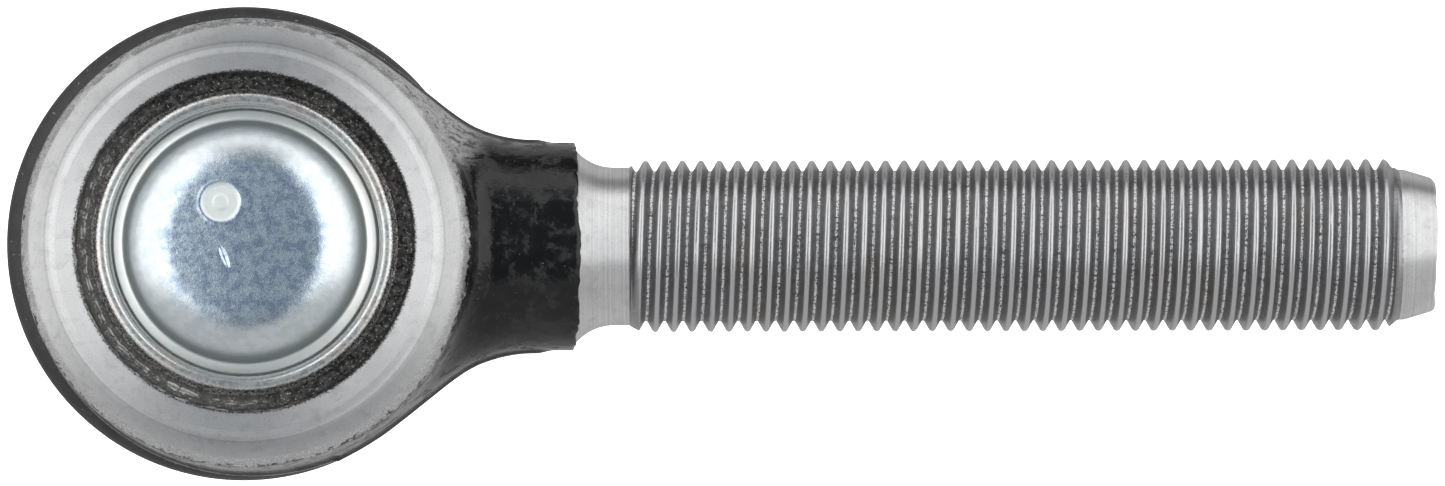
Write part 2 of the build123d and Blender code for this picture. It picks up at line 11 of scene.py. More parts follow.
import bmesh
import bpy
import numpy as np
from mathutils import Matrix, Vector


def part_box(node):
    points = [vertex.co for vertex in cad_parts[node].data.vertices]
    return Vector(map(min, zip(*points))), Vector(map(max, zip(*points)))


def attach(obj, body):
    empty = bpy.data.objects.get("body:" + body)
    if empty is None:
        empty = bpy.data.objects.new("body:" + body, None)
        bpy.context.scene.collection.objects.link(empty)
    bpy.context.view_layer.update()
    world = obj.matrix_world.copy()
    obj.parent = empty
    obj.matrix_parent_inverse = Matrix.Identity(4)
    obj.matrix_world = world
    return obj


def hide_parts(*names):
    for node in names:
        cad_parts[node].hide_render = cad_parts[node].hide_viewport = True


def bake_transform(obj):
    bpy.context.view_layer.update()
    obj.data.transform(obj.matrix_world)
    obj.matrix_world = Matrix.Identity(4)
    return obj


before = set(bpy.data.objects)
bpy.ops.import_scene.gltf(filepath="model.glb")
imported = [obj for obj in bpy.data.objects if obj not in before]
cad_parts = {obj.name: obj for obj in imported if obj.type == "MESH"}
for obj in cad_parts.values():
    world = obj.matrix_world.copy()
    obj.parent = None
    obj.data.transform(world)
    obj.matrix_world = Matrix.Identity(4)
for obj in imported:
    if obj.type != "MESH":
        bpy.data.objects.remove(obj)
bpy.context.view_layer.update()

MM = 0.001
TURN = 2 * math.pi


def cad(node):
    """Lowest and highest corners of a CAD node, in millimetres."""
    low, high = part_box(node)
    return low / MM, high / MM


HOUSING_LOW, HOUSING_HIGH = cad("housing")
CAP_LOW, CAP_HIGH = cad("closing_cap")
BOOT_LOW, BOOT_HIGH = cad("dust_boot")

# ------------------------------------------------------------------ driving sizes, mm
# turned face of the head, from the lip outwards
FACE_Z = 12.0
LIP_R = 10.9
CAP_BORE_R = 12.25  # also where the valley behind the lip begins
VALLEY_R = 13.62  # outer edge of the valley
FACE_R = 15.62
STEP_Z = FACE_Z - 0.25  # low outer step of the face
STEP_R = 15.9
BEVEL_R = 16.1
BEVEL_FOOT = (17.95, 10.0)  # where the bevel meets the painted skin
BEVEL_ARC_R = 3.2
RING_R = 17.33  # where the turned bevel stops and the raw forging begins
RING_SINK = 0.04  # the forging lies this far under the turned ring

# forged head
HEAD_R = HOUSING_HIGH.y  # at the parting plane
HEAD_BOTTOM = HOUSING_LOW.z
FLASH = 0.25  # trimmed flash standing out along the parting plane
HEAD_SIDE_R = HEAD_R - FLASH
HEAD_UNDER_R = 16.4
LAND_R = 14.8  # rim under the boot's groove
GROOVE_R = 14.2
GROOVE_TOP = -7.2
GROOVE_FOOT = -10.2
MOUTH_R = 9.6
MOUTH_FLARE_R = 11.2
SEAT_BORE_R = 11.6
CAP_SHOULDER_Z = 9.0

# web and neck
WEB_START = (7.45, 16.4)  # where the web leaves the head, along and across the shank
WEB_SLOPE = -0.694
WEB_HALF_HEIGHT = 7.1
WEB_RISE = 1.4  # height of the web's middle above the parting plane, at the head
WEB_FILLET = 2.4
NECK_R = 8.45
NECK_INSIDE_X = 25.2  # the forging ends here, inside the paint skirt
PAINT_END_X = 26.1

# shank and its left-hand thread
RELIEF_R = 6.42
THREAD_LOW_X = 30.6
FIRST_CREST_X = 31.93
THREAD_FULL_X = 91.9  # last full crest
THREAD_HIGH_X = 93.0
SHANK_END = HOUSING_HIGH.x
PITCH = 1.5
CREST_R = 6.97
ROOT_R = 6.02
CREST_ROUND = 0.26  # radius of a rolled crest

# marks pressed into the cap
DIMPLE_AT = (-1.74, 3.05)
DIMPLE_R = 1.62
TICK_AT = (-1.43, -1.3)
TICK_SLANT = math.radians(-68)

BOOT_LEAN = (-1.54, 0.85)  # how far the boot's bulge hangs to one side


# ------------------------------------------------------------------ outlines
def rounded(corners, closed=False, steps=6):
    """Outline through (a, b, fillet radius) corners, with each fillet as a short arc."""
    outline = []
    count = len(corners)
    for i, (a, b, radius) in enumerate(corners):
        corner = np.array((a, b), float)
        if radius == 0 or (not closed and i in (0, count - 1)):
            outline.append(corner)
            continue
        back = np.array(corners[i - 1][:2]) - corner
        ahead = np.array(corners[(i + 1) % count][:2]) - corner
        back_len, ahead_len = np.linalg.norm(back), np.linalg.norm(ahead)
        back, ahead = back / back_len, ahead / ahead_len
        half = 0.5 * math.acos(np.clip(back @ ahead, -1, 1))
        reach = min(radius / math.tan(half), 0.48 * back_len, 0.48 * ahead_len)
        middle = back + ahead
        centre = corner + middle / np.linalg.norm(middle) * reach / math.cos(half)
        first, last = corner + back * reach - centre, corner + ahead * reach - centre
        sweep = math.atan2(first[0] * last[1] - first[1] * last[0], first @ last)
        for k in range(steps + 1):
            turn = sweep * k / steps
            cos, sin = math.cos(turn), math.sin(turn)
            swung = (first[0] * cos - first[1] * sin, first[0] * sin + first[1] * cos)
            outline.append(centre + swung)
    return np.array(outline)


def arc(start, end, radius, steps=12):
    """Points from start to end on a circle, whose centre lies to the right if radius > 0."""
    start, end = np.array(start, float), np.array(end, float)
    chord = end - start
    length = np.linalg.norm(chord)
    half = math.asin(min(1.0, length / 2 / abs(radius)))
    side = np.array((-chord[1], chord[0])) / length * math.copysign(1, radius)
    centre = (start + end) / 2 - side * math.sqrt(max(radius**2 - length**2 / 4, 0))
    first = start - centre
    points = []
    for k in range(steps + 1):
        turn = -2 * half * k / steps * math.copysign(1, radius)
        cos, sin = math.cos(turn), math.sin(turn)
        swung = (first[0] * cos - first[1] * sin, first[0] * sin + first[1] * cos)
        points.append(centre + swung)
    return points


def smooth_step(value, low, high):
    """0 at low and 1 at high, easing in and out; low may be the larger."""
    t = np.clip((value - low) / (high - low), 0, 1)
    return t * t * (3 - 2 * t)


def smooth_min(a, b, reach):
    """Union of two distance fields with a fillet about reach wide."""
    overlap = np.clip(reach - np.abs(a - b), 0, None) / reach
    return np.minimum(a, b) - overlap**2 * reach / 4


def smooth_max(a, b, reach):
    return -smooth_min(-a, -b, reach)


def wander(positions, period, seed):
    """Smooth random wave along a line, between about -1 and 1, the same on each run."""
    count = 4096
    knots = np.random.RandomState(seed).uniform(-1, 1, count)
    place = np.asarray(positions, float) / period
    whole = np.floor(place).astype(int)
    part = place - whole
    part = part * part * (3 - 2 * part)
    return knots[whole % count] * (1 - part) + knots[(whole + 1) % count] * part


# ------------------------------------------------------------------ meshes
def build(name, points, faces, materials, face_slots=None, normals=None, weld=True):
    """Makes a smooth-shaded mesh object from points in millimetres."""
    mesh = bpy.data.meshes.new(name)
    mesh.from_pydata((np.asarray(points, float) * MM).tolist(), [], faces)
    for material in materials:
        mesh.materials.append(material)
    if face_slots is not None:
        mesh.polygons.foreach_set("material_index", np.asarray(face_slots, np.int32))
    if weld:
        work = bmesh.new()
        work.from_mesh(mesh)
        bmesh.ops.remove_doubles(work, verts=work.verts, dist=1e-7)
        bmesh.ops.dissolve_degenerate(work, edges=work.edges, dist=1e-8)
        bmesh.ops.recalc_face_normals(work, faces=work.faces)
        work.to_mesh(mesh)
        work.free()
    mesh.polygons.foreach_set("use_smooth", np.ones(len(mesh.polygons), bool))
    if normals is not None:
        mesh.normals_split_custom_set_from_vertices(normals.tolist())
    mesh.update()
    piece = bpy.data.objects.new(name, mesh)
    bpy.context.scene.collection.objects.link(piece)
    return piece


def full_turn(segments):
    return np.arange(segments) / segments * TURN


def spread(outline, angle):
    """Radius and distance along the axis of an outline, repeated at each angle."""
    radius = outline[:, 0][:, None] + 0 * angle
    along = outline[:, 1][:, None] + 0 * angle
    return radius, along


def place(axis, along, radius, angle):
    """Points round an axis, from their distance along it, radius and angle."""
    cos, sin = radius * np.cos(angle), radius * np.sin(angle)
    parts = (along, cos, sin) if axis == "X" else (cos, sin, along)
    return np.stack(np.broadcast_arrays(*parts), -1)


def grid_faces(rows, columns, shift=0, first=0, closed_rows=False):
    """Quads of a grid whose columns close round an axis, with a row shift at the seam."""
    faces = []
    for j in range(rows if closed_rows else rows - 1):
        above = (j + 1) % rows
        low = first + j * columns
        high = first + above * columns
        for c in range(columns - 1):
            faces.append((low + c, high + c, high + c + 1, low + c + 1))
        if 0 <= j + shift and above + shift < rows:
            seam = low + columns - 1
            across = low + shift * columns
            rise = high - low
            faces.append((seam, seam + rise, across + rise, across))
    return faces


def lathe(name, outline, materials, axis="Z", segments=192, closed=True, slots=None, change=None):
    """Turned piece from an outline. change may move its points at each angle."""
    angle = full_turn(segments)
    radius, along = spread(outline, angle)
    if change:
        radius, along = change(radius, along, angle)
    points = place(axis, along, radius, angle[None, :]).reshape(-1, 3)
    faces = grid_faces(len(outline), segments, closed_rows=closed)
    face_slots = None
    if slots is not None:
        face_slots = np.repeat(slots, segments)
    return build(name, points, faces, materials, face_slots)


def thread_form():
    """One pitch of a rolled thread, as shares of the pitch and of the thread's depth.

    The crest is an arc, the flanks are straight and the root is nearly flat.
    """
    crest = []
    for share in (0.033, 0.067, 0.1, 0.13):
        drop = CREST_ROUND - math.sqrt(CREST_ROUND**2 - (share * PITCH) ** 2)
        crest.append((share, round(1 - drop / (CREST_R - ROOT_R), 3)))
    flank = [(0.15, 0.863), (0.233, 0.636), (0.333, 0.362), (0.41, 0.152)]
    root = [(0.425, 0.115), (0.437, 0.096), (0.455, 0.09)]
    half = crest + flank + root
    other_half = [(1 - share, height) for share, height in reversed(half)]
    return np.array([(0.0, 1.0)] + half + [(0.5, 0.088)] + other_half)


def thread_grid(blank, low, high, angle, hand, fades, wear, seed):
    """Distance along, radius and seam shift of a helical thread between low and high.

    Rows follow the helix and are clamped to the two ends. hand is +1 for a right-hand
    thread. blank gives the radius of the bar before threading, and fades is how far the
    groove takes to reach its depth at each end. wear wavers and bruises the crests.
    """
    form = thread_form()
    first_turn = math.floor((low - FIRST_CREST_X) / PITCH) - 1
    last_turn = math.ceil((high - FIRST_CREST_X) / PITCH) + 2
    turns = np.arange(first_turn, last_turn)
    straight = (FIRST_CREST_X + (turns[:, None] + form[:, 0]) * PITCH).ravel()
    height = np.tile(form[:, 1], len(turns))
    x = straight[:, None] + hand * angle / TURN * PITCH
    turns_before = np.repeat(turns, len(form)) * hand
    unwound = (turns_before[:, None] + angle / TURN) * TURN * CREST_R
    bruise = np.clip(wander(unwound, 1.6, seed) - 0.72, 0, 1) / 0.28
    tall = height[:, None] ** 6
    radius = ROOT_R + (CREST_R - ROOT_R) * height[:, None]
    radius = radius + tall * wear * (wander(unwound, 9.0, seed + 1) - 1.2 * bruise)
    inside = np.clip(x, low, high)
    bar = blank(inside)
    depth = smooth_step(inside, low, low + fades[0]) * (1 - smooth_step(inside, high - fades[1], high))
    radius = bar + (np.minimum(bar, radius) - bar) * depth
    return inside, radius, hand * len(form)


def finish_piece(piece, body, slot, *nodes):
    """Rides a piece on its body and hides the CAD nodes it stands for; slot is not used."""
    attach(piece, body)
    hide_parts(*nodes)


# ------------------------------------------------------------------ materials
class Finish:
    """One procedural material: a Principled shader and the nodes that feed it."""

    def __init__(self, name, **settings):
        self.material = bpy.data.materials.new(name)
        self.material.use_nodes = True
        self.tree = self.material.node_tree
        self.shader = self.tree.nodes["Principled BSDF"]
        for socket, value in settings.items():
            self.shader.inputs[socket.replace("_", " ")].default_value = value
        self.normal = None
        point = self.add("ShaderNodeTexCoord").outputs["Object"]
        scaled = self.add("ShaderNodeVectorMath", {0: point}, operation="SCALE")
        scaled.inputs["Scale"].default_value = 1 / MM
        self.mm = scaled.outputs[0]

    def add(self, kind, inputs=None, **settings):
        node = self.tree.nodes.new(kind)
        for key, value in settings.items():
            setattr(node, key, value)
        for key, value in (inputs or {}).items():
            if isinstance(value, bpy.types.NodeSocket):
                self.tree.links.new(value, node.inputs[key])
            else:
                node.inputs[key].default_value = value
        return node

    def math(self, operation, a, b=0.0):
        return self.add("ShaderNodeMath", {0: a, 1: b}, operation=operation).outputs[0]

    def times(self, a, b):
        return self.math("MULTIPLY", a, b)

    def plus(self, a, b):
        return self.math("ADD", a, b)

    def part(self, name):
        """X, Y or Z of the point, in millimetres."""
        return self.add("ShaderNodeSeparateXYZ", {0: self.mm}).outputs[name]

    def from_axis(self, axis):
        """Distance of the point from the X or Z axis, in millimetres."""
        keep = (0.0, 1.0, 1.0) if axis == "X" else (1.0, 1.0, 0.0)
        flat = self.add("ShaderNodeVectorMath", {0: self.mm, 1: keep}, operation="MULTIPLY")
        length = self.add("ShaderNodeVectorMath", {0: flat.outputs[0]}, operation="LENGTH")
        return length.outputs["Value"]

    def stretched(self, x, y, z):
        """The point with each direction scaled, for streaks."""
        inputs = {0: self.mm, 1: (x, y, z)}
        return self.add("ShaderNodeVectorMath", inputs, operation="MULTIPLY").outputs[0]

    def noise(self, per_mm, detail=3.0, rough=0.55, vector=None, distortion=0.0):
        """Noise between about 0.2 and 0.8, with per_mm cells in a millimetre."""
        inputs = {
            "Vector": vector or self.mm,
            "Scale": per_mm,
            "Detail": detail,
            "Roughness": rough,
            "Distortion": distortion,
        }
        return self.add("ShaderNodeTexNoise", inputs).outputs[0]

    def rings(self, along, per_mm, detail=2.0):
        """Noise that changes only along one value, as tool marks do."""
        inputs = {"W": along, "Scale": per_mm, "Detail": detail, "Roughness": 0.7}
        return self.add("ShaderNodeTexNoise", inputs, noise_dimensions="1D").outputs[0]

    def between(self, value, low, high, out_low=0.0, out_high=1.0):
        """Eases from out_low at low to out_high at high; low may be the larger."""
        inputs = {
            "Value": value,
            "From Min": low,
            "From Max": high,
            "To Min": out_low,
            "To Max": out_high,
        }
        return self.add("ShaderNodeMapRange", inputs, interpolation_type="SMOOTHSTEP").outputs[0]

    def blend(self, share, first, second):
        """Mixes two colours, each a socket or three numbers; a share of 1 is the second."""
        node = self.add("ShaderNodeMix", data_type="RGBA")
        for index, value in ((6, first), (7, second)):
            if isinstance(value, bpy.types.NodeSocket):
                self.tree.links.new(value, node.inputs[index])
            else:
                node.inputs[index].default_value = (*value, 1.0)
        self.tree.links.new(share, node.inputs[0])
        return node.outputs[2]

    def set(self, socket, value):
        self.tree.links.new(value, self.shader.inputs[socket])

    def bump(self, height, depth_mm):
        """Adds relief whose height runs from 0 to depth_mm."""
        inputs = {"Height": height, "Distance": depth_mm * MM, "Strength": 1.0}
        if self.normal:
            inputs["Normal"] = self.normal
        self.normal = self.add("ShaderNodeBump", inputs).outputs[0]
        self.set("Normal", self.normal)

    def grain_round(self, axis, amount):
        """Stretches the highlight across marks that run round an axis."""
        tangent = self.add("ShaderNodeTangent", direction_type="RADIAL", axis=axis)
        self.shader.inputs["Anisotropic"].default_value = amount
        self.shader.inputs["Anisotropic Rotation"].default_value = 0.25
        self.set("Tangent", tangent.outputs[0])


def turned_steel(
    name, axis, shade, rough=0.5, marks=6.0, depth=0.0022, grain=0.9, contrast=0.05, torn=None
):
    """Bare steel straight from the lathe, with fine feed marks round the axis.

    marks is how many there are in a millimetre, and depth how deep they are. Inside the
    radius torn, where one is given, the steel is as dirty as the valley.
    """
    f = Finish(name, Metallic=1.0)
    along = f.part("X") if axis == "X" else f.from_axis("Z")
    drift = f.times(f.noise(0.6, 2.0), 0.12)
    feed = f.rings(f.plus(along, drift), marks, 3.0)
    stain = f.noise(0.35, 4.0)
    speck = f.noise(9.0, 2.0)
    smear = f.noise(0.9, 5.0, 0.65, distortion=0.4)
    tone = f.blend(f.between(stain, 0.35, 0.7), (shade,) * 3, (shade * 0.93, shade * 0.92, shade * 0.92))
    tone = f.blend(f.between(feed, 0.62, 0.36), tone, (shade * (1 - contrast),) * 3)
    tone = f.blend(f.times(f.between(smear, 0.5, 0.72), 0.35), tone, (shade * 0.55,) * 3)
    tone = f.blend(f.times(f.between(speck, 0.56, 0.7), 0.4), tone, (shade * 0.45,) * 3)
    if torn is not None:
        grit = f.noise(6.0, 4.0, 0.75)
        ragged = f.plus(along, f.times(f.math("SUBTRACT", grit, 0.5), 0.9))
        tone = f.blend(f.between(ragged, torn + 0.12, torn - 0.08), tone, (0.05, 0.049, 0.048))
    f.set("Base Color", tone)
    uneven = f.plus(f.times(stain, 0.08), f.times(speck, 0.08))
    f.set("Roughness", f.plus(uneven, rough - 0.08))
    f.bump(feed, depth)
    f.bump(speck, depth * 0.5)
    f.grain_round(axis, grain)
    return f.material


def valley_steel():
    """Torn, dirty steel behind the rolled lip, with painted light towards -X and -Y: lighter there and
    streaked brighter.
    """
    f = Finish("valley_steel", Metallic=0.9)
    grit = f.noise(5.0, 5.0, 0.7)
    spots = f.noise(2.2, 3.0)
    # painted light: the side towards -X and -Y is lightened and gets bright streaks, as if lit
    lit_side_along = f.plus(f.times(f.part("X"), 0.87), f.times(f.part("Y"), 0.5))
    painted_lit_side = f.between(lit_side_along, 1.0, -11.0)
    drift = f.times(f.noise(0.5, 2.0), 0.7)
    arcs = f.between(f.rings(f.plus(f.from_axis("Z"), drift), 2.6, 3.0), 0.52, 0.64)
    broken = f.times(arcs, f.between(f.noise(1.1, 4.0, 0.65), 0.46, 0.6))
    dark = f.blend(f.between(spots, 0.35, 0.7), (0.03, 0.029, 0.028), (0.12, 0.117, 0.115))
    dark = f.blend(f.times(painted_lit_side, 0.55), dark, (0.21, 0.205, 0.2))
    dark = f.blend(f.times(f.times(broken, painted_lit_side), 0.9), dark, (0.7, 0.69, 0.68))
    f.set("Base Color", f.blend(f.between(grit, 0.56, 0.7), dark, (0.6, 0.59, 0.58)))
    f.set("Roughness", f.between(grit, 0.3, 0.8, 0.62, 0.38))
    f.bump(grit, 0.07)
    f.bump(spots, 0.1)
    return f.material


def lip_steel():
    """Rolled edge: smooth, faintly tinted, scratched across by the rolling tool."""
    f = Finish("lip_steel", Metallic=1.0)
    drag = f.noise(3.0, 3.0, vector=f.stretched(1.0, 1.0, 0.15))
    tint = f.noise(0.35, 2.0)
    warm = f.blend(f.between(tint, 0.4, 0.65), (0.74, 0.76, 0.75), (0.77, 0.73, 0.7))
    warm = f.blend(f.between(drag, 0.62, 0.8), warm, (0.42, 0.41, 0.4))
    # the back of the lip is torn and dirty where it drops into the valley
    torn = f.noise(6.0, 4.0, 0.7)
    r = f.from_axis("Z")
    dirt = f.times(f.between(r, 11.55, 11.95), f.between(torn, 0.42, 0.58))
    f.set("Base Color", f.blend(dirt, warm, (0.08, 0.078, 0.075)))
    f.set("Roughness", f.between(drag, 0.3, 0.75, 0.24, 0.42))
    f.bump(f.times(torn, f.between(r, 11.5, 11.9)), 0.05)
    f.bump(drag, 0.012)
    f.grain_round("Z", 0.4)
    return f.material


def black_paint():
    """Glossy dipped paint over a scaly forging, with bare ragged edges and dust; some bare patches also
    stand as painted reflection and painted highlight.
    """
    f = Finish("black_paint", IOR=1.42)
    lumps = f.noise(0.55, 4.0, 0.6)
    peel = f.noise(2.6, 3.0, 0.6)
    fine = f.noise(11.0, 2.0)
    patch = f.noise(0.9, 5.0, 0.68, vector=f.stretched(1.0, 0.8, 1.0), distortion=0.35)
    haze = f.noise(0.28, 2.0)
    cloud = f.plus(f.times(patch, 0.8), f.times(haze, 0.35))
    matt = f.between(cloud, 0.555, 0.69)
    specks = f.between(f.noise(4.5, 1.0, 0.4), 0.765, 0.79)
    paint = f.blend(f.between(lumps, 0.4, 0.7), (0.005, 0.005, 0.005), (0.009, 0.009, 0.009))
    paint = f.blend(f.times(specks, 0.5), paint, (0.35, 0.34, 0.32))
    paint = f.blend(matt, paint, (0.022, 0.022, 0.022))

    # the paint stops at a ragged edge beside the turned bevel
    ragged = f.times(f.math("SUBTRACT", f.noise(1.6, 5.0, 0.7), 0.5), 1.3)
    edge_r = f.plus(f.from_axis("Z"), ragged)
    foot_r = BEVEL_FOOT[0]
    near_bevel = f.between(edge_r, foot_r + 0.03, foot_r - 0.15)
    bare_and_reflection_share = f.times(near_bevel, f.between(f.part("Z"), 8.6, 9.4))
    # it is rubbed thin on the shoulder where the web leaves the head, and this lighter bare patch on the
    # +Y side is also a painted reflection of the soft box
    rub_and_reflection = f.times(f.between(f.part("Y"), 5.6, 7.6), f.between(f.part("X"), 3.0, 8.0))
    scuff = f.noise(1.1, 4.0, 0.55, vector=f.stretched(0.7, 2.4, 1.0), distortion=0.6)
    rub_and_reflection = f.times(rub_and_reflection, f.between(scuff, 0.36, 0.6))
    rub_and_reflection = f.times(rub_and_reflection, f.between(f.part("Z"), 1.0, 2.5))
    rub_and_reflection = f.times(rub_and_reflection, f.between(f.part("X"), 19.6, 16.0))
    bare_and_reflection_share = f.math("MAXIMUM", bare_and_reflection_share, rub_and_reflection)
    # the trimmed flash shows bare metal along the parting plane, which also stands as a painted
    # highlight on the flash's edge
    line = f.math("ABSOLUTE", f.plus(f.part("Z"), f.times(ragged, 0.25)))
    trimmed = f.times(f.between(line, 0.34, 0.2), f.between(f.part("X"), 1.0, 6.0))
    bare_and_reflection_share = f.math("MAXIMUM", bare_and_reflection_share, f.times(trimmed, 0.9))

    bare = f.blend(f.between(fine, 0.35, 0.7), (0.42, 0.42, 0.42), (0.8, 0.8, 0.8))
    f.set("Base Color", f.blend(bare_and_reflection_share, paint, bare))
    f.set("Metallic", bare_and_reflection_share)
    gloss = f.between(matt, 0.0, 1.0, 0.13, 0.5)
    f.set("Roughness", f.plus(gloss, f.times(bare_and_reflection_share, 0.2)))
    f.bump(lumps, 0.08)
    f.bump(peel, 0.016)
    f.bump(f.times(fine, matt), 0.006)
    return f.material


def rolled_steel(name, axis, crest, root):
    """Rolled thread: bright crests, oily grey flanks and specks of dirt in the root."""
    f = Finish(name, Metallic=1.0)
    r = f.from_axis(axis)
    speck = f.noise(7.0, 3.0, 0.6)
    tint = f.noise(0.16, 2.0)
    streak = f.noise(2.4, 3.0, vector=f.stretched(0.5, 1.0, 1.0))
    flank = f.blend(f.between(tint, 0.42, 0.7), (0.36, 0.36, 0.37), (0.345, 0.335, 0.325))
    flank = f.blend(f.between(streak, 0.5, 0.75), flank, (0.28, 0.277, 0.273))
    deep = f.between(r, root + 0.22, root + 0.02)
    pit = f.between(speck, 0.5, 0.62)
    flank = f.blend(f.times(deep, pit), flank, (0.05, 0.048, 0.045))
    trough = f.between(r, root + 0.12, root + 0.09)
    flank = f.blend(f.times(trough, f.between(speck, 0.58, 0.5)), flank, (0.95, 0.95, 0.95))
    worn = f.between(r, crest - 0.12, crest - 0.02)
    f.set("Base Color", f.blend(worn, flank, (0.56, 0.56, 0.57)))
    rough = f.between(speck, 0.3, 0.7, 0.26, 0.42)
    f.set("Roughness", f.plus(rough, f.times(trough, 0.2)))
    f.bump(speck, 0.006)
    f.bump(streak, 0.01)
    return f.material


def zinc():
    """Bright blue-passivated zinc on a pressed cap, mottled where the die held it."""
    f = Finish("zinc_plate", Metallic=1.0)
    r = f.from_axis("Z")
    mottle = f.noise(1.1, 6.0, 0.7)
    grain = f.noise(7.0, 3.0, 0.6)
    fine = f.noise(22.0, 2.0)
    crown = f.between(r, 7.6, 5.6)
    offset_x = f.math("SUBTRACT", f.part("X"), DIMPLE_AT[0])
    offset_y = f.math("SUBTRACT", f.part("Y"), DIMPLE_AT[1])
    squares = f.plus(f.times(offset_x, offset_x), f.times(offset_y, offset_y))
    from_dimple = f.math("SQRT", squares)
    in_dimple = f.between(from_dimple, DIMPLE_R + 0.03, DIMPLE_R - 0.17)
    frost = f.times(in_dimple, f.between(f.part("Z"), 13.0, 13.6))
    shell = f.blend(f.between(mottle, 0.42, 0.6), (0.72, 0.77, 0.79), (0.62, 0.69, 0.72))
    middle = f.blend(f.between(mottle, 0.42, 0.6), (0.76, 0.89, 1.0), (0.46, 0.58, 0.75))
    # painted shade: the dome's steep side, from r 8.8 to 9.3 outwards, is darkened; painted highlight:
    # the flange from r 9.6 to 9.8 outwards is lightened
    rim = f.between(r, 9.6, 9.8)
    shell = f.blend(f.between(r, 8.8, 9.3), shell, (0.46, 0.51, 0.52))
    shell = f.blend(rim, shell, (0.92, 0.95, 0.94))
    tone = f.blend(crown, shell, middle)
    f.set("Base Color", f.blend(frost, tone, (0.82, 0.87, 0.86)))
    base = f.between(r, 6.2, 9.4, 0.24, 0.34)
    uneven = f.times(f.between(grain, 0.35, 0.7), 0.08)
    rough = f.plus(f.plus(base, uneven), f.times(frost, 0.28))
    f.set("Roughness", rough)
    f.bump(grain, 0.006)
    f.bump(mottle, 0.03)
    f.bump(f.times(fine, frost), 0.02)
    return f.material


def rubber():
    """Moulded black rubber, matt, with pale dust clinging to it."""
    f = Finish("boot_rubber", IOR=1.5)
    grain = f.noise(8.0, 3.0)
    bloom = f.noise(0.5, 4.0)
    dust = f.between(f.noise(3.4, 1.0, 0.4), 0.735, 0.775)
    skin = f.blend(f.between(bloom, 0.35, 0.7), (0.018, 0.018, 0.018), (0.03, 0.03, 0.03))
    f.set("Base Color", f.blend(f.times(dust, 0.6), skin, (0.5, 0.5, 0.48)))
    f.set("Roughness", f.between(grain, 0.3, 0.7, 0.42, 0.56))
    f.bump(grain, 0.012)
    f.bump(bloom, 0.05)
    return f.material


def plated(name, shade, rough=0.26):
    """Plated or drawn steel of the small parts, with a fine rubbed grain."""
    f = Finish(name, Metallic=1.0)
    grain = f.noise(5.0, 4.0)
    cloud = f.noise(0.5, 3.0)
    darker = tuple(c * 0.7 for c in shade)
    f.set("Base Color", f.blend(f.between(cloud, 0.35, 0.7), shade, darker))
    f.set("Roughness", f.between(grain, 0.3, 0.7, rough, rough + 0.14))
    f.bump(grain, 0.006)
    return f.material


def moulded(name, shade, rough=0.45):
    """Moulded plastic or cut rubber sheet with a fine even texture."""
    f = Finish(name, IOR=1.48)
    grain = f.noise(6.0, 3.0)
    cloud = f.noise(0.4, 3.0)
    darker = tuple(c * 0.82 for c in shade)
    f.set("Base Color", f.blend(f.between(cloud, 0.35, 0.7), shade, darker))
    f.set("Roughness", f.between(grain, 0.3, 0.7, rough, rough + 0.12))
    f.bump(grain, 0.01)
    return f.material


FACE_STEEL = turned_steel("face_steel", "Z", shade=0.88, torn=VALLEY_R + 0.06)
STEP_STEEL = turned_steel("step_steel", "Z", shade=0.68, marks=4.0)
BEVEL_STEEL = turned_steel("bevel_steel", "Z", shade=0.72, marks=1.6, contrast=0.08)
SHANK_STEEL = turned_steel(
    "shank_steel", "X", shade=1.0, rough=0.52, marks=5.5, depth=0.008, grain=0.95, contrast=0.17
)
VALLEY_STEEL = valley_steel()
LIP_STEEL = lip_steel()
BLACK_PAINT = black_paint()
THREAD_STEEL = rolled_steel("thread_steel", "X", CREST_R, ROOT_R)
ZINC = zinc()
RUBBER = rubber()


# ------------------------------------------------------------------ forged head and neck
def outline_field(outline, low, high, step=0.05):
    """Signed distance to a closed outline, sampled on a flat grid, negative inside."""
    a = np.arange(low[0], high[0], step)
    b = np.arange(low[1], high[1], step)
    spots = np.stack(np.meshgrid(a, b, indexing="ij"), -1)
    best = np.full(spots.shape[:2], 1e9)
    inside = np.zeros(spots.shape[:2], bool)
    for first, last in zip(outline, np.roll(outline, -1, axis=0)):
        edge = last - first
        length = edge @ edge
        if length < 1e-12:
            continue
        offset = spots - first
        t = np.clip((offset @ edge) / length, 0, 1)
        gap = offset - t[..., None] * edge
        best = np.minimum(best, (gap**2).sum(-1))
        crosses = (first[1] > spots[..., 1]) != (last[1] > spots[..., 1])
        if edge[1] != 0:
            where = first[0] + edge[0] * (spots[..., 1] - first[1]) / edge[1]
            inside ^= crosses & (spots[..., 0] < where)
    field = np.sqrt(best) * np.where(inside, -1, 1)

    def sample(u, v):
        s = np.clip((u - low[0]) / step, 0, field.shape[0] - 1.001)
        t = np.clip((v - low[1]) / step, 0, field.shape[1] - 1.001)
        i, j = s.astype(int), t.astype(int)
        s, t = s - i, t - j
        return (
            field[i, j] * (1 - s) * (1 - t)
            + field[i + 1, j] * s * (1 - t)
            + field[i, j + 1] * (1 - s) * t
            + field[i + 1, j + 1] * s * t
        )

    return sample


